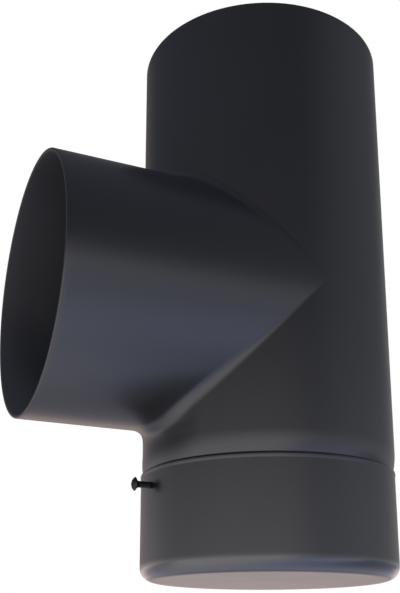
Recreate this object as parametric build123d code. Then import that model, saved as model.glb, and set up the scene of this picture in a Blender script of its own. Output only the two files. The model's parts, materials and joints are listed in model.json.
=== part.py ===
from build123d import *
import os
from math import cos, pi, sin

os.makedirs("parts", exist_ok=True)

# Stove pipe tee: a run pipe with an equal branch, closed below by a pressed cap that a screw locks.
# Millimetres. The run's axis is Z, the branch points to -X, and the cap's underside is at Z = 0.

# Driving dimensions of the tee
flue_bore = 150.0        # inside diameter of the run and of the branch
sheet = 2.0              # steel sheet of the tee
crotch_radius = 9.0      # hollow of the dressed weld outside, in the plane of the axes
crotch_strips = 4        # strips of surface that share the hollow's quarter arc
top_socket = 91.0        # plain bore above the crotch, where the next pipe plugs in
branch_socket = 65.5     # plain bore from the crotch to the branch mouth
lower_land = 6.5         # plain pipe between the crotch and the swage
swage_length = 9.5       # stretch over which the lower end is drawn in
spigot_length = 49.0     # plain drawn-in end that the cap goes over
slip_gap = 0.3           # gap all round between the spigot and the cap

# Driving dimensions of the cap
cap_sheet = 1.5          # steel sheet of the cap
cap_corner = 8.0         # outside rounding between the cap's floor and its wall
cap_end_gap = 4.0        # height left between the rounded corner and the end of the spigot
rim_overlap = 2.0        # how far the rim reaches up past the spigot, on to the swage
rim_bevel = 4.0          # height over which the rim's outside leans in
rim_lean = 1.2           # how far it leans in

# Driving dimensions of the locking screw, a pan-head machine screw
screw_drop = 10.5        # from the cap's rim down to the screw's axis
screw_thread = 4.0       # outside diameter of the thread
screw_length = 10.0      # under the head
head_diameter = 8.0
head_height = 2.2
head_bevel = 1.5         # width of the sloping edge around the head's top
hole_gap = 0.15          # gap all round between the thread and its hole
tip_gap = 0.2            # gap between the screw's tip and the spigot
recess_span = 4.4        # tip to tip across the cross recess
recess_width = 1.0
recess_depth = 1.2

# Radii of the two skins of the sheet
bore_r = flue_bore / 2
run_r = bore_r + sheet
spigot_r = bore_r - slip_gap
spigot_bore_r = spigot_r - sheet

# Heights, upwards from the cap's underside
spigot_end = cap_corner + cap_end_gap
swage_bottom = spigot_end + spigot_length
swage_top = swage_bottom + swage_length
cap_rim = swage_bottom + rim_overlap
branch_height = swage_top + lower_land + crotch_radius + run_r
body_top = branch_height + run_r + crotch_radius + top_socket
branch_mouth = run_r + crotch_radius + branch_socket


def unit_arc(start, end):
    """Control points and weights of the unit circle's arc between two angles in radians."""
    middle = (start + end) / 2
    lean = cos((end - start) / 2)
    points = [(cos(start), sin(start)), (cos(middle) / lean, sin(middle) / lean), (cos(end), sin(end))]
    return points, [1, lean, 1]


def crotch_filler(radius, blend, side):
    """Solid under the hollow crotch above (side 1) or below (side -1) the branch.

    At a distance y from the plane of the axes both pipes are sqrt(radius^2 - y^2) wide, and the arc
    that rounds the corner between them is the middle arc scaled by that width over the radius. It
    meets both pipes along plane curves and fades out at the two points where the creases end.
    """
    hollow = blend / radius
    centre = 1 + hollow

    def lay(width, y, x, z):
        """Point (x, z) of the middle section, scaled to the pipes' width at y."""
        return (-radius * width * x, radius * y, side * radius * width * z)

    step = pi / 2 / crotch_strips
    turns = [unit_arc(-pi / 2, 0), unit_arc(0, pi / 2)]
    patches = []
    for turn, turn_weights in turns:
        for strip in range(crotch_strips):
            arc, arc_weights = unit_arc(strip * step, (strip + 1) * step)
            net = [[lay(w, y, centre - hollow * c, centre - hollow * s) for c, s in arc] for w, y in turn]
            weights = [[a * b for b in arc_weights] for a in turn_weights]
            patches.append(Face.make_bezier_surface(net, weights))

    # Flat sides through the cross axis, one under the hollow's foot on the run and one on the branch
    spine = Edge.make_line((0, -radius, 0), (0, radius, 0))
    sides = []
    for x, z in ((1, centre), (centre, 1)):
        foot = [
            Edge.make_bezier(*[lay(w, y, x, z) for w, y in turn], weights=turn_weights)
            for turn, turn_weights in turns
        ]
        sides.append(Face(Wire(foot + [spine])))
    return Solid(Shell(patches + sides))


def run_pipe(radius, neck, swage, high):
    """Solid of the run from the neck at the swage's foot up to its top, with the given swage outline."""
    outline = [
        Line((0, swage_bottom), (neck, swage_bottom)),
        *swage,
        Line((radius, swage_top), (radius, high)),
        Line((radius, high), (0, high)),
        Line((0, high), (0, swage_bottom)),
    ]
    return revolve(Plane.XZ * make_face(outline), Axis.Z)


def branch_pipe(radius, reach):
    """Solid of the branch from the run's axis out to the given reach."""
    pipe = Cylinder(radius, reach, align=(Align.CENTER, Align.CENTER, Align.MIN))
    return Pos(0, 0, branch_height) * Rot(0, -90, 0) * pipe


# Outside of the tee: planes through the cross axis part the run, the two hollow crotches and the branch
middle = Pos(0, 0, branch_height)
swage_middle = ((run_r + spigot_r) / 2, (swage_bottom + swage_top) / 2)
swage_curve = [
    TangentArc((spigot_r, swage_bottom), swage_middle, tangent=(0, 1)),
    TangentArc((run_r, swage_top), swage_middle, tangent=(0, -1)),
]
crotch_reach = run_r + crotch_radius
slope = crotch_reach / run_r
notch_height = slope * crotch_reach
notch = Polyline((0, 0), (-crotch_reach, notch_height), (-crotch_reach, -notch_height), close=True)
gusset_reach = slope * branch_mouth
gusset = Polyline((0, 0), (-gusset_reach, branch_mouth), (-gusset_reach, -branch_mouth), close=True)
outside = run_pipe(run_r, spigot_r, swage_curve, body_top)
outside -= middle * extrude(Plane.XZ * make_face(notch), crotch_reach, both=True)
branch = branch_pipe(run_r, branch_mouth)
outside += branch & middle * extrude(Plane.XZ * make_face(gusset), crotch_reach, both=True)
outside += [middle * crotch_filler(run_r, crotch_radius, side) for side in (1, -1)]

# Inside: the two bores, which meet at a plain edge, run past both mouths
swage_cone = [Line((spigot_bore_r, swage_bottom), (bore_r, swage_top))]
inside = run_pipe(bore_r, spigot_bore_r, swage_cone, body_top + sheet)
inside += branch_pipe(bore_r, branch_mouth + sheet)
tee_body = outside - inside

# Spigot: the plain drawn-in end below the swage, which goes into the cap
spigot_section = Pos(0, 0, spigot_end) * (Circle(spigot_r) - Circle(spigot_bore_r))
spigot = extrude(spigot_section, spigot_length)

# Cap: a pressed cup with a flat floor, a rounded corner and a rim whose outside leans in
cap_bore_r = spigot_r + slip_gap
cap_r = cap_bore_r + cap_sheet
inner_corner = cap_corner - cap_sheet
cap_section = [
    Line((0, 0), (cap_r - cap_corner, 0)),
    TangentArc((cap_r - cap_corner, 0), (cap_r, cap_corner), tangent=(1, 0)),
    Line((cap_r, cap_corner), (cap_r, cap_rim - rim_bevel)),
    Line((cap_r, cap_rim - rim_bevel), (cap_r - rim_lean, cap_rim)),
    Line((cap_r - rim_lean, cap_rim), (cap_bore_r, cap_rim)),
    Line((cap_bore_r, cap_rim), (cap_bore_r, cap_corner)),
    Line((cap_bore_r, cap_corner), (cap_bore_r - inner_corner, cap_sheet)),
    Line((cap_bore_r - inner_corner, cap_sheet), (0, cap_sheet)),
    Line((0, cap_sheet), (0, 0)),
]
cap = revolve(Plane.XZ * make_face(cap_section), Axis.Z)

# The screw's axis, with local Z running outwards through the cap's wall from the run's axis
screw_axis = Pos(0, 0, cap_rim - screw_drop) * Rot(0, -90, 0)
hole_length = cap_r + cap_sheet
cap -= screw_axis * Cylinder(
    screw_thread / 2 + hole_gap, hole_length, align=(Align.CENTER, Align.CENTER, Align.MIN)
)

# Locking screw: a pan head with a cross recess on a plain shank, its tip just off the spigot
tip = spigot_r + tip_gap
seat = tip + screw_length
head_r = head_diameter / 2
screw_section = [
    Line((0, tip), (screw_thread / 2, tip)),
    Line((screw_thread / 2, tip), (screw_thread / 2, seat)),
    Line((screw_thread / 2, seat), (head_r, seat)),
    Line((head_r, seat), (head_r, seat + head_height - head_bevel)),
    Line((head_r, seat + head_height - head_bevel), (head_r - head_bevel, seat + head_height)),
    Line((head_r - head_bevel, seat + head_height), (0, seat + head_height)),
    Line((0, seat + head_height), (0, tip)),
]
lock_screw = revolve(Plane.XZ * make_face(screw_section), Axis.Z)
for turn in (0, 90):
    wing = Box(recess_span, recess_width, 2 * recess_depth)
    lock_screw -= Pos(0, 0, seat + head_height) * Rot(0, 0, turn) * wing
lock_screw = screw_axis * lock_screw

nodes = {"tee_body": tee_body, "spigot": spigot, "cap": cap, "lock_screw": lock_screw}
for node, solid in nodes.items():
    export_step(solid, f"parts/{node}.step")
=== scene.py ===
import json

import bmesh
import bpy
import numpy as np
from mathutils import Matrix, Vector


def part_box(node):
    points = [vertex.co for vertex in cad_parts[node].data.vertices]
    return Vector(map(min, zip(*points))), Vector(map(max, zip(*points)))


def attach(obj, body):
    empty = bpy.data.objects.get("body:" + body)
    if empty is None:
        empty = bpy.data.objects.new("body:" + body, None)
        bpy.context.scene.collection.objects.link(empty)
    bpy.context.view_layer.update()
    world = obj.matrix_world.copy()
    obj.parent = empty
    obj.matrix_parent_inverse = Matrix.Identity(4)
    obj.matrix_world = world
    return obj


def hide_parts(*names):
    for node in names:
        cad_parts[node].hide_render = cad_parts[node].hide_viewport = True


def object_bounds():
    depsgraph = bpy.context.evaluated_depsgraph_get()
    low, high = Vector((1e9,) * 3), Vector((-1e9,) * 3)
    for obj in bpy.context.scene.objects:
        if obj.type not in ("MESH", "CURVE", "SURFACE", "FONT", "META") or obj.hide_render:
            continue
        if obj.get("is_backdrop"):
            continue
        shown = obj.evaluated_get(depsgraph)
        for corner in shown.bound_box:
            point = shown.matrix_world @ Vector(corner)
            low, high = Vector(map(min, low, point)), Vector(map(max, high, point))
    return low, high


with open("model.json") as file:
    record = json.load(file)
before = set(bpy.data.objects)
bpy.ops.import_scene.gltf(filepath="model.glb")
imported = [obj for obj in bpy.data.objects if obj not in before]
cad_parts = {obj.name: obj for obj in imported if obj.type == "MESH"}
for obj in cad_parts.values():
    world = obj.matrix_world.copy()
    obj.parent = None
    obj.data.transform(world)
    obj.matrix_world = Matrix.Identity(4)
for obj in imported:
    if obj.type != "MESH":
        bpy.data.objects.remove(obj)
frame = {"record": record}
cad_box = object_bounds()

# Tee: a run pipe with an equal branch, rolled from steel sheet and welded. The weld outside is dressed
# to a smooth hollow, and the lower end is drawn in to a spigot for the cap. Sprayed all over with
# satin black stove paint.
mm = 0.001
tee_low, tee_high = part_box("tee_body")
spigot_low, spigot_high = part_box("spigot")
mounts = {mount["name"]: mount for mount in frame["record"]["mounts"]}
run_r = tee_high.x
bore_r = mounts["top_socket"]["dims"]["r_mm"] * mm
sheet = run_r - bore_r
branch_z = mounts["branch_socket"]["pos_m"][2]
branch_mouth = tee_low.x
pipe_top = tee_high.z
spigot_r = spigot_high.x
spigot_end = spigot_low.z
swage_bottom = spigot_high.z
shoulder_top = swage_bottom + 15 * mm
shoulder_power = 2.5                    # how quickly the shoulder turns upright
hollow = 9 * mm                         # from the pipes' corner to the hollow's foot on either pipe
hollow_power = 3                        # power of the superellipse in the hollow's section
bore_edge = 4 * mm                      # the same inside, where it rounds the edge between the bores
rim_round = 0.7 * mm                    # rounding of the sheet's edges at both mouths
rim_steps = 5
merge_gap = 0.001 * mm                  # points closer than this are one
sliver_gap = 0.0001 * mm                # and faces thinner than this are taken out

columns = 192                           # columns of points round a whole pipe
quarter = columns // 4
whole_turn = np.linspace(-np.pi, np.pi, columns + 1)
front_half = whole_turn[quarter:3 * quarter + 1]
back_quarters = (whole_turn[:quarter + 1], whole_turn[3 * quarter:])


def lathe(profile, angles):
    """Surface of revolution about Z: each (radius, height) of the profile is swung through the angles,
    which count from -X towards +Y."""
    radius, height = np.asarray(profile, float).T
    x = -np.cos(angles)[:, None] * radius
    y = np.sin(angles)[:, None] * radius
    return np.stack([x, y, np.broadcast_to(height, x.shape)], axis=-1)


def arc(centre, radius, start, end, steps):
    """Points of a circle's arc in a profile, from one angle to another in degrees."""
    a = np.radians(np.linspace(start, end, steps + 1))
    return np.stack([centre[0] + radius * np.cos(a), centre[1] + radius * np.sin(a)], axis=-1)


def shoulder(low, high, steps):
    """Widening stretch of a profile from one (radius, height) to another: the radius falls short by a
    power of the height that is left, so the profile stands upright at the upper end."""
    u = np.linspace(0, 1, steps + 1)
    radius = high[0] - (high[0] - low[0]) * (1 - u) ** shoulder_power
    return np.stack([radius, low[1] + (high[1] - low[1]) * u], axis=-1)


def saddle(radius, blend, side, run_end, run_steps, arc_steps, branch_steps):
    """Front of the tee above (side 1) or below (side -1) the branch.

    At the angle t from -X both pipes are radius*cos(t) wide. In that plane the skin goes along the run
    from its end to the hollow's foot, round the hollow and along the branch to its mouth. The hollow is
    a quarter of a superellipse, so it runs softly into both pipes. It shrinks with the width, so it
    fades out where the creases end at the two sides."""
    width = radius * np.cos(front_half)[:, None]
    foot = width * (1 + blend / radius)
    u = np.linspace(0, 1, run_steps + 1)[:-1]
    a = np.linspace(0, np.pi / 2, arc_steps + 1)[:-1]
    v = np.linspace(0, 1, branch_steps + 1)
    run_z = run_end + (branch_z + side * foot - run_end) * u
    reach = (np.cos(a) ** hollow_power + np.sin(a) ** hollow_power) ** (-1 / hollow_power)
    arc_x = -foot + (foot - width) * reach * np.cos(a)
    arc_z = branch_z + side * (foot - (foot - width) * reach * np.sin(a))
    branch_x = -foot + (branch_mouth + rim_round + foot) * v
    x = np.concatenate([-width * np.ones_like(u), arc_x, branch_x], axis=1)
    z = np.concatenate([run_z, arc_z, branch_z + side * width * np.ones_like(v)], axis=1)
    y = np.broadcast_to(radius * np.sin(front_half)[:, None], x.shape)
    return np.stack([x, y, z], axis=-1)


def tee_skin(radius, blend, run_steps, arc_steps, branch_steps):
    """One skin of the tee above the shoulder: the two saddles in front, and the plain half of the run
    behind, whose rows end at the branch's height and match the saddles' rows at the sides."""
    top = pipe_top - rim_round
    low_rows = np.linspace(shoulder_top, branch_z, run_steps + 1)
    high_rows = np.linspace(branch_z, top, run_steps + 1)
    heights = np.concatenate([low_rows[:-1], high_rows])
    rows = np.stack([np.full(len(heights), radius), heights], axis=-1)
    return [
        saddle(radius, blend, -1, shoulder_top, run_steps, arc_steps, branch_steps),
        saddle(radius, blend, 1, top, run_steps, arc_steps, branch_steps),
        *[lathe(rows, back) for back in back_quarters],
    ]


def rounded_rim(outer, inner, end):
    """Profile over the sheet's edge, from the outer skin round both corners to the inner skin."""
    return np.concatenate([
        arc((outer - rim_round, end - rim_round), rim_round, 0, 90, rim_steps),
        arc((inner + rim_round, end - rim_round), rim_round, 90, 180, rim_steps),
    ])


def on_level_axis(grid, height):
    """Turns a surface about Z on to a level axis at this height, its Z pointing outwards along -X."""
    return np.stack([-grid[..., 2], grid[..., 1], height + grid[..., 0]], axis=-1)


def weld_grids(name, grids):
    """Joins grids of points into one closed mesh: each grid's neighbouring points make quads, points
    that coincide are merged, and the faces are turned outwards."""
    verts, quads, start = [], [], 0
    for grid in grids:
        rows, row_length = grid.shape[:2]
        index = start + np.arange(rows * row_length).reshape(rows, row_length)
        corners = [index[:-1, :-1], index[1:, :-1], index[1:, 1:], index[:-1, 1:]]
        quads.append(np.stack(corners, axis=-1).reshape(-1, 4))
        verts.append(grid.reshape(-1, 3))
        start += rows * row_length
    mesh = bpy.data.meshes.new(name)
    mesh.from_pydata(np.concatenate(verts), [], np.concatenate(quads))
    work = bmesh.new()
    work.from_mesh(mesh)
    bmesh.ops.remove_doubles(work, verts=work.verts, dist=merge_gap)
    bmesh.ops.dissolve_degenerate(work, edges=work.edges, dist=sliver_gap)
    bmesh.ops.recalc_face_normals(work, faces=work.faces)
    work.to_mesh(mesh)
    work.free()
    mesh.shade_smooth()
    piece = bpy.data.objects.new(name, mesh)
    bpy.context.collection.objects.link(piece)
    return piece


lower_end = np.concatenate([
    shoulder((spigot_r, swage_bottom), (run_r, shoulder_top), steps=24)[::-1],
    [(spigot_r, spigot_end), (spigot_r - sheet, spigot_end)],
    shoulder((spigot_r - sheet, swage_bottom), (bore_r, shoulder_top), steps=8),
])
tee_grids = [
    *tee_skin(run_r, hollow, run_steps=48, arc_steps=16, branch_steps=32),
    *tee_skin(bore_r, bore_edge, run_steps=16, arc_steps=6, branch_steps=12),
    lathe(rounded_rim(run_r, bore_r, pipe_top), whole_turn),
    on_level_axis(lathe(rounded_rim(run_r, bore_r, -branch_mouth), whole_turn), branch_z),
    lathe(lower_end, whole_turn),
]

# Dent where the sheet is drawn in under the branch
pinch_depth = 1.8 * mm
pinch_low = swage_bottom - 3 * mm       # the depth rises from this height
pinch_full = shoulder_top + 3 * mm      # to this one
pinch_fade = shoulder_top + 6 * mm      # and fades out from this one
pinch_high = shoulder_top + 19 * mm     # to this one
pinch_near = run_r + 10 * mm            # it falls off along the branch from this reach
pinch_far = run_r + 40 * mm             # to this one
pinch_full_angle = np.radians(16)       # and round the run from this angle off the branch
pinch_end_angle = np.radians(36)        # to this one


def smooth_step(value, low, high):
    """0 below low, 1 above high, and between them a cubic that is level at both ends."""
    u = np.clip((value - low) / (high - low), 0, 1)
    return u * u * (3 - 2 * u)


def pinch(points):
    """Draws the sheet in under the branch: points move towards the run's axis by a depth that rises
    up the shoulder, fades out up the crotch and falls off round the pipe and along the branch."""
    x, y, z = np.moveaxis(points, -1, 0)
    angle = np.abs(np.arctan2(y, -x))
    reach = np.hypot(x, y)
    depth = pinch_depth * (1 - smooth_step(angle, pinch_full_angle, pinch_end_angle))
    depth = depth * smooth_step(z, pinch_low, pinch_full) * (1 - smooth_step(z, pinch_fade, pinch_high))
    depth = depth * (1 - smooth_step(reach, pinch_near, pinch_far))
    keep = 1 - depth / reach
    return np.stack([x * keep, y * keep, z], axis=-1)


tee = weld_grids("tee", [pinch(grid) for grid in tee_grids])


class Shade:
    """A shader socket. Operators on it add Math nodes, and node() adds any other node."""

    def __init__(self, tree, socket=None):
        self.tree = tree
        self.socket = socket

    def node(self, kind, settings=None, sockets=None, output=0):
        """New node of this type: its settings are set first, then its sockets get values or links."""
        new = self.tree.nodes.new(kind)
        for name, value in (settings or {}).items():
            setattr(new, name, value)
        for name, value in (sockets or {}).items():
            if isinstance(value, Shade):
                self.tree.links.new(value.socket, new.inputs[name])
            else:
                new.inputs[name].default_value = value
        return Shade(self.tree, new.outputs[output])

    def math(self, operation, first, second=0.0):
        """Math node on one or two values."""
        return self.node("ShaderNodeMath", {"operation": operation}, {0: first, 1: second})

    def __add__(self, other):
        return self.math("ADD", self, other)

    def __radd__(self, other):
        return self.math("ADD", other, self)

    def __sub__(self, other):
        return self.math("SUBTRACT", self, other)

    def __rsub__(self, other):
        return self.math("SUBTRACT", other, self)

    def __mul__(self, other):
        return self.math("MULTIPLY", self, other)

    def __rmul__(self, other):
        return self.math("MULTIPLY", other, self)

    def ramp(self, low, high):
        """Smooth step from 0 at low to 1 at high."""
        return self.node(
            "ShaderNodeMapRange",
            {"interpolation_type": "SMOOTHSTEP"},
            {"Value": self, "From Min": low, "From Max": high},
        )

    def mix(self, first, second):
        """Colour that goes from the first to the second as this value goes from 0 to 1. The Mix node's
        sockets for colours are its inputs 6 and 7 and its output 2."""
        return self.node(
            "ShaderNodeMix", {"data_type": "RGBA"}, {"Factor": self, 6: first, 7: second}, output=2
        )


def new_material(name):
    """Empty material with its Principled shader. Returns the material, a Shade to build with, the shader
    and the Object coordinates."""
    material = bpy.data.materials.new(name)
    material.use_nodes = True
    tree = material.node_tree
    shade = Shade(tree)
    place = shade.node("ShaderNodeTexCoord", output="Object")
    return material, shade, tree.nodes["Principled BSDF"], place


def noise(shade, place, scale, detail, roughness):
    """Noise from 0 to 1 with this many waves to the metre."""
    return shade.node(
        "ShaderNodeTexNoise", None,
        {"Vector": place, "Scale": scale, "Detail": detail, "Roughness": roughness},
    )


def put(shade, shader, **sockets):
    """Links values to the shader's sockets by name."""
    for name, value in sockets.items():
        shade.tree.links.new(value.socket, shader.inputs[name.replace("_", " ")])


# Stove paint: cloudy from the spray gun, with a fine grain and a slight orange peel. It is duller inside
# the pipes, and paler there as painted light for the light that comes in at the mouths. It is smoother on
# the cap's pressed floor, with a gloss round the cap's corner. The inside starts above the shoulder,
# because the spigot's outside is as narrow as the bore.
paint_dark = (0.0100, 0.0107, 0.0148, 1)
paint_light = (0.0134, 0.0143, 0.0196, 1)
# Paler colour inside the pipes: painted light for the light that comes in at the mouths
painted_light_inside = (0.026, 0.029, 0.039, 1)
paint_relief = 0.05 * mm
inside_low = shoulder_top + 6 * mm
inside_full = shoulder_top + 19 * mm
pressed_full = 6 * mm
pressed_high = 10 * mm
gloss_low = 0.2 * mm
gloss_full = 1.5 * mm
stove_paint, shade, shader, place = new_material("stove_paint")
grain = noise(shade, place, scale=2600, detail=2, roughness=0.6)
peel = noise(shade, place, scale=420, detail=2, roughness=0.45)
spray = noise(shade, place, scale=26, detail=4, roughness=0.55)
cloud = noise(shade, place, scale=7, detail=2, roughness=0.5)
tone = 0.65 * cloud + 0.35 * spray
x, y, z = [shade.node("ShaderNodeSeparateXYZ", None, {"Vector": place}, output=axis) for axis in "XYZ"]
rise = z - branch_z
from_run = shade.math("SQRT", x * x + y * y)
from_branch = shade.math("SQRT", y * y + rise * rise)
in_run = (1 - from_run.ramp(bore_r, run_r)) * z.ramp(inside_low, inside_full)
in_branch = (1 - from_branch.ramp(bore_r, run_r)) * (1 - x.ramp(-sheet, 0.0))
inside = shade.math("MAXIMUM", in_run, in_branch)
pressed = 1 - z.ramp(pressed_full, pressed_high)
glossy = pressed * z.ramp(gloss_low, gloss_full)
put(
    shade, shader,
    # The inside's paler colour is painted light; its higher roughness below is the paint's own
    Base_Color=inside.mix(tone.ramp(0.3, 0.7).mix(paint_dark, paint_light), painted_light_inside),
    Roughness=0.27 + 0.06 * spray + 0.05 * grain + 0.35 * inside - 0.04 * pressed,
    Coat_Weight=0.1 * pressed + 0.9 * glossy,
    Normal=shade.node(
        "ShaderNodeBump", None, {"Strength": 0.5, "Distance": paint_relief, "Height": 0.6 * grain + peel}
    ),
)
shader.inputs["IOR"].default_value = 1.9
shader.inputs["Coat IOR"].default_value = 1.6
shader.inputs["Coat Roughness"].default_value = 0.22
tee.data.materials.append(stove_paint)
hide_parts("tee_body", "spigot")
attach(tee, "tee")

# Clean-out cap: a round cup pressed from thinner sheet, with a crowned rim, a rounded corner and a hole
# for the screw. It slips over the spigot, and it is painted together with the tee.
cap_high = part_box("cap")[1]
screw_low, screw_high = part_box("lock_screw")
cap_r = cap_high.x
cap_rim = cap_high.z
cap_sheet = 1.5 * mm
cap_bore_r = cap_r - cap_sheet
cap_corner = 8 * mm
crown_height = 1.6 * mm
crown_lean = 1.35 * mm                  # how far the rim leans in over the crown
crown_curve = 0.92                      # share of the quarter ellipse that the crown takes, squared
crown_fall = 0.72                       # about what a unit ellipse falls by over that share
lip_round = 0.15 * mm
bead = 0.25 * mm                        # how far the rim swells out below the crown
bead_height = 1.6 * mm
bead_high = cap_rim - crown_height
bead_low = bead_high - bead_height
bead_r = cap_r + bead
lip_r = bead_r - crown_lean - lip_round
screw_z = (screw_low.z + screw_high.z) / 2
hole_r = 2.15 * mm
border_columns = 4                      # columns of the wall's grid on either side of the hole
border_height = 6.5 * mm                # from the hole's middle up and down to the border around it
border_rows = (0, 0.03, 0.25, 0.6, 1)   # rows of points from the hole's edge, 0, to the border, 1
border = np.linspace(-1, 1, 2 * border_columns + 1)
border_left = columns // 2 - border_columns
border_right = columns // 2 + border_columns
border_low = screw_z - border_height
border_high = screw_z + border_height


def line(start, end, steps):
    """Evenly spaced points of a straight stretch of a profile, without the last one."""
    return np.linspace(start, end, steps + 1)[:-1]


def crown(radius, lean, low, high, steps):
    """Profile of a crowned rim: most of a quarter ellipse, upright at its foot and leaning in above."""
    u = np.linspace(0, 1, steps + 1)
    fall = (1 - np.sqrt(1 - crown_curve * u**2)) / crown_fall
    return np.stack([radius - lean * fall, low + (high - low) * u], axis=-1)


def around_hole(radius):
    """Patch of a round wall about the screw's hole: straight lines, in angle and height, from the hole's
    edge to the points of the wall's grid on a rectangle around it."""
    ones = np.ones(2 * border_columns)
    side = border[:-1]
    across = np.concatenate([side, ones, -side, -ones, [-1]])
    upward = np.concatenate([-ones, side, ones, -side, [-1]])
    reach = hole_r / np.hypot(across, upward)
    share = np.array(border_rows)[:, None]
    angle = (1 - share) * np.arcsin(across * reach / radius) + share * across * whole_turn[border_right]
    height = screw_z + (1 - share) * upward * reach + share * upward * border_height
    return np.stack([-radius * np.cos(angle), radius * np.sin(angle), height], axis=-1)


cup_outside = np.concatenate([
    line((0, 0), (cap_r - cap_corner, 0), steps=24),
    arc((cap_r - cap_corner, cap_corner), cap_corner, -90, 0, steps=20),
    line((cap_r, cap_corner), (cap_r, border_low), steps=20)[1:],
    [(cap_r, border_low)],
])
rim = np.concatenate([
    line((cap_r, border_high), (cap_r, bead_low), steps=2),
    shoulder((cap_r, bead_low), (bead_r, bead_high), steps=10),
    crown(bead_r, crown_lean, bead_high, cap_rim - lip_round, steps=12)[1:],
    arc((lip_r, cap_rim - lip_round), lip_round, 0, 90, steps=4)[1:],
    line((cap_bore_r, cap_rim), (cap_bore_r, border_high), steps=3),
    [(cap_bore_r, border_high)],
])
cup_inside = np.concatenate([
    line((cap_bore_r, border_low), (cap_bore_r, cap_corner), steps=10),
    arc((cap_r - cap_corner, cap_corner), cap_corner - cap_sheet, 0, -90, steps=8),
    line((cap_r - cap_corner, cap_sheet), (0, cap_sheet), steps=8)[1:],
    [(0, cap_sheet)],
])
cap_grids = [lathe(profile, whole_turn) for profile in (cup_outside, rim, cup_inside)]
for radius in (cap_r, cap_bore_r):
    band = np.stack([np.full(len(border), radius), screw_z + border * border_height], axis=-1)
    cap_grids.append(lathe(band, whole_turn[:border_left + 1]))
    cap_grids.append(lathe(band, whole_turn[border_right:]))
    cap_grids.append(around_hole(radius))
cap_grids.append(np.stack([around_hole(cap_r)[0], around_hole(cap_bore_r)[0]]))
cap = weld_grids("cap_shell", cap_grids)
cap.data.materials.append(stove_paint)
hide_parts("cap")
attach(cap, "cap")

# Locking screw: a small pan-head machine screw of blackened steel. It is driven through a tapped hole
# in the cap's wall, below the branch, and its tip stops just short of the spigot.
head_r = (screw_high.z - screw_low.z) / 2
head_top = -screw_low.x
head_height = 2.2 * mm
head_skirt = 0.45 * mm                  # height of the dome's edge above the head's seat
head_bevel = 0.1 * head_r               # bevel round the head's underside
dome_power = 2.6                        # power of the radius by which the dome falls
seat = head_top - head_height
screw_tip = -screw_high.x
tip_bevel = 0.5 * mm
thread_r = 2 * mm
thread_depth = 0.38 * mm
thread_pitch = 0.7 * mm
groove_peak = 1.25                      # height of the groove's wave, cut at 1 to a flat root
groove_slope = 1.5                      # slope of its flanks
neck_r = 3.1 * mm
neck_length = 1.3 * mm
recess_span = 4.4 * mm
recess_width = 1.0 * mm
recess_depth = 1.1 * mm
recess_slope = 0.3 * mm                 # width of the slope at the ends of the recess's wings
flank_taper = 1.6                       # how much steeper the wings' flanks are
recess_rows = np.linspace(0, 0.72, 30)  # rows of points over the recess, as shares of the radius
edge_rows = np.linspace(0.74, 1, 9)     # and out to the head's edge
shank_rows = 120
screw_columns = 48
screw_turn = np.linspace(-np.pi, np.pi, screw_columns + 1)


def threaded_shank():
    """Shank whose radius is a triangle wave of the height less the turn, which winds one groove of the
    pitch around it. The thread fades out under the head, the tip is bevelled, and both ends are closed."""
    height = np.linspace(screw_tip, seat, shank_rows + 1)[None, :]
    phase = (height / thread_pitch - screw_turn[:, None] / (2 * np.pi)) % 1
    groove = np.clip(groove_peak - groove_slope * np.abs(2 * phase - 1), 0, 1)
    fade = np.clip((seat - height) / thread_pitch, 0, 1)
    bevel = np.clip(1 - (height - screw_tip) / tip_bevel, 0, 1) * tip_bevel
    radius = thread_r - thread_depth * groove * fade - bevel
    x = -np.cos(screw_turn)[:, None] * radius
    y = np.sin(screw_turn)[:, None] * radius
    body = np.stack([x, y, np.broadcast_to(height, x.shape)], axis=-1)
    on_axis = body[:, [0, -1]] * [0, 0, 1]
    return np.concatenate([on_axis[:, :1], body, on_axis[:, 1:]], axis=1)


def pan_head():
    """Head over a polar grid: a flared neck, a skirt, a dome that falls with a power of the radius, and
    a cross recess that is as deep as the nearer wing's flank allows."""
    radius = np.concatenate([recess_rows, edge_rows])[None, ::-1] * head_r
    x = -np.cos(screw_turn)[:, None] * radius
    y = np.sin(screw_turn)[:, None] * radius
    dome = head_top - (head_height - head_skirt) * (radius / head_r) ** dome_power
    wing_a = np.maximum(np.abs(x) - recess_span / 2, flank_taper * (np.abs(y) - recess_width / 2))
    wing_b = np.maximum(np.abs(y) - recess_span / 2, flank_taper * (np.abs(x) - recess_width / 2))
    sink = np.clip(-np.minimum(wing_a, wing_b) / recess_slope, 0, 1) * recess_depth
    top = np.stack([x, y, dome - sink], axis=-1)
    neck = [(0, seat - neck_length), (thread_r, seat - neck_length), (neck_r, seat)]
    under = lathe([*neck, (head_r - head_bevel, seat), (head_r, seat + head_bevel)], screw_turn)
    return np.concatenate([under, top], axis=1)


shank = weld_grids("screw_shank", [on_level_axis(threaded_shank(), screw_z)])
head = weld_grids("screw_head", [on_level_axis(pan_head(), screw_z)])
steel_dark = (0.008, 0.008, 0.009, 1)
steel_light = (0.018, 0.018, 0.021, 1)
steel_relief = 0.03 * mm
screw_black, shade, shader, place = new_material("screw_black")
grain = noise(shade, place, scale=3000, detail=2, roughness=0.6)
spots = noise(shade, place, scale=700, detail=3, roughness=0.6)
put(
    shade, shader,
    Base_Color=spots.ramp(0.35, 0.75).mix(steel_dark, steel_light),
    Roughness=0.32 + 0.2 * spots,
    Normal=shade.node("ShaderNodeBump", None, {"Strength": 0.3, "Distance": steel_relief, "Height": grain}),
)
for piece in (shank, head):
    piece.data.materials.append(screw_black)
    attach(piece, "screw")
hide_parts("lock_screw")
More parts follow.
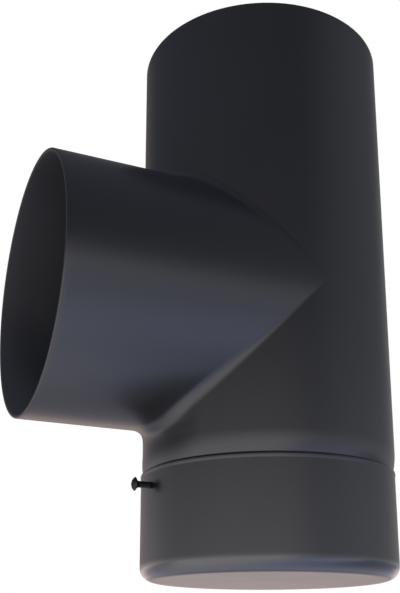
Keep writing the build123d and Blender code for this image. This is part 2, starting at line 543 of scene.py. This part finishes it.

# Floor: plain pale board. It lies well below the tee, because the camera looks up from under the cap and
# the cap comes off downwards. The camera sees it fade to white with distance. Gloss sees it glow with
# painted
# light in place of its lit colour: white in front on the branch's side, blue on the other, painted shade
# around the tee, a painted shadow beside it on the right and pink far behind.
floor_z = -0.16
floor_size = 30.0
board_dark = (0.72, 0.71, 0.70, 1)
board_light = (0.76, 0.75, 0.74, 1)
plain_white = (1, 1, 1, 1)
branch_tint = (0.99, 0.97, 1.0, 1)
near_blue = (0.65, 0.71, 1.0, 1)
far_blue = (0.47, 0.50, 0.66, 1)
# Painted shade of the tee on the floor, which gloss sees around the tee
painted_shade_tint = (0.44, 0.43, 0.50, 1)
behind_tint = (1.0, 0.80, 0.75, 1)
# Painted shadow of the tee on the floor, which gloss sees beside it on the right
painted_shadow_tint = (0.24, 0.255, 0.34, 1)
from_branch_side = (1, 0, 0)
camera_heading = (0.4075, 0.9132, 0)
camera_right = (camera_heading[1], -camera_heading[0], 0)
beside_slant = 0.6                      # keeps the painted shadow on the right clear of the floor behind


def along(shade, place, direction):
    """How far a place lies along a direction."""
    return shade.node(
        "ShaderNodeVectorMath", {"operation": "DOT_PRODUCT"}, {0: place, 1: direction}, output="Value"
    )


def ray_kinds(shade):
    """1 for a ray from the camera, and 1 for a ray from a glossy or a clear surface."""
    seen, gloss, through = [
        shade.node("ShaderNodeLightPath", output=f"Is {kind} Ray")
        for kind in ("Camera", "Glossy", "Transmission")
    ]
    return seen, shade.math("MAXIMUM", gloss, through)


bpy.ops.mesh.primitive_plane_add(size=floor_size, location=(0, 0, floor_z))
floor = bpy.context.object
floor.name = "floor"
pale_floor, shade, shader, place = new_material("pale_floor")
mottle = noise(shade, place, scale=3, detail=3, roughness=0.5)
put(
    shade, shader,
    Base_Color=mottle.mix(board_dark, board_light),
    Roughness=0.75 + 0.1 * mottle,
)

# Painted light that gloss sees, by the distance in metres behind the tee, beside it and away from it
behind = along(shade, place, camera_heading)
beside = along(shade, place, camera_right) - beside_slant * behind
blue = behind.ramp(-0.9, -0.25).mix(far_blue, near_blue)
in_front = along(shade, place, from_branch_side).ramp(-0.25, 0.02).mix(branch_tint, blue)
# Painted shade around the tee
near_tee = behind.ramp(-0.15, 0.2).mix(in_front, painted_shade_tint)
to_back = behind.ramp(0.45, 1.0).mix(near_tee, behind_tint)
# Painted shadow beside the tee on the right
tint = (beside.ramp(0.0, 0.4) * behind.ramp(-0.3, -0.05)).mix(to_back, painted_shadow_tint)
seen, mirrored = ray_kinds(shade)
away = shade.node("ShaderNodeVectorMath", {"operation": "LENGTH"}, {0: place}, output="Value")
glowing = shade.math("MAXIMUM", mirrored, seen * away.ramp(0.3, 1.5))
glow = shade.node("ShaderNodeEmission", None, {"Color": seen.mix(tint, plain_white)})
board = Shade(shade.tree, shader.outputs["BSDF"])
surface = shade.node("ShaderNodeMixShader", None, {0: glowing, 1: board, 2: glow})
put(shade, shade.tree.nodes["Material Output"], Surface=surface)
floor.data.materials.append(pale_floor)
floor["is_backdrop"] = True

# Camera: in front of the tee on the branch's side and lower than the cap, looking up along the run, as in
# the photograph. The lens is shifted, so the middle of its view is a low row of the picture. The sensor's
# width spans the picture's longer side, which is its height.
image_height = 593
focal_pixels = 906.0
centre_row = 420
camera_data = bpy.data.cameras.new("camera")
camera_data.sensor_width = 36
camera_data.lens = focal_pixels / image_height * camera_data.sensor_width
camera_data.shift_y = (centre_row - image_height / 2) / image_height
camera_data.clip_start = 0.01
camera = bpy.data.objects.new("camera", camera_data)
camera.location = (-0.25912, -0.47982, -0.04138)
look = Vector((0.3952, 0.8839, 0.2501))
camera.rotation_mode = "QUATERNION"
camera.rotation_quaternion = look.to_track_quat("-Z", "Y")
bpy.context.collection.objects.link(camera)
bpy.context.scene.camera = camera

# Studio: a room that is white to the camera. Otherwise it is pale along the horizon, dim above and warmer
# at the back, and gloss also sees a pale wall high at the back on the right. One soft lamp hangs overhead
# and doesn't show in reflections.
horizon_front = (0.93, 0.91, 0.96, 1)
horizon_left = (0.68, 0.68, 0.73, 1)
horizon_right = (0.60, 0.60, 0.64, 1)
horizon_right_back = (0.44, 0.45, 0.49, 1)
above_ahead = (0.088, 0.092, 0.108, 1)
above_left = (0.106, 0.114, 0.137, 1)
above_right = (0.23, 0.245, 0.275, 1)
back_low_left = (0.50, 0.41, 0.42, 1)
back_low_right = (0.44, 0.42, 0.43, 1)
back_high_left = (0.345, 0.29, 0.29, 1)
back_high_right = (0.305, 0.295, 0.30, 1)
pale_wall_heading = (0.63, 0.652, 0.42)
world = bpy.data.worlds.new("studio")
bpy.context.scene.world = world
world.use_nodes = True
room = Shade(world.node_tree)
heading = room.node("ShaderNodeTexCoord", output="Generated")
up = room.node("ShaderNodeSeparateXYZ", None, {"Vector": heading}, output="Z")

# Tones by how far a heading points up, away from the camera and to the camera's right
forward = along(room, heading, camera_heading)
across = along(room, heading, camera_right)
sideways = 1 - forward * forward
left_half = forward.ramp(-0.9, 0.0).mix(horizon_front, horizon_left)
right_front = forward.ramp(-1.0, -0.7).mix(horizon_front, horizon_right)
right_half = forward.ramp(-0.1, 0.5).mix(right_front, horizon_right_back)
horizon = across.ramp(0.1, 0.6).mix(left_half, right_half)
left_above = sideways.ramp(0.3, 0.9).mix(above_ahead, above_left)
above = across.ramp(0.5, 0.95).mix(left_above, above_right)
back_low = across.ramp(-0.5, 0.5).mix(back_low_left, back_low_right)
back_high = across.ramp(-0.5, 0.5).mix(back_high_left, back_high_right)
back = up.ramp(0.1, 0.5).mix(back_low, back_high)
dim_room = forward.ramp(0.5, 1.0).mix(up.ramp(0.06, 0.32).mix(horizon, above), back)
seen, mirrored = ray_kinds(room)
pale_wall = along(room, heading, pale_wall_heading).ramp(0.86, 1.32)
backdrop = room.math("MAXIMUM", seen, pale_wall * mirrored)
put(room, world.node_tree.nodes["Background"], Color=backdrop.mix(dim_room, plain_white))

# Overhead lamp, a square panel that shines straight down
lamp_data = bpy.data.lights.new("overhead", "AREA")
lamp_data.size = 0.8
lamp_data.spread = np.radians(150)
lamp_data.energy = 30
lamp_data.color = (1.0, 0.98, 0.96)
lamp = bpy.data.objects.new("overhead", lamp_data)
lamp.location = (-0.8, -0.2, 2.7)
lamp.visible_glossy = False
bpy.context.collection.objects.link(lamp)

bpy.context.scene.view_settings.view_transform = "Standard"

boxes = {"cad": cad_box, "visual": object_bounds()}
{name: [list(corner) for corner in box] for name, box in boxes.items()}
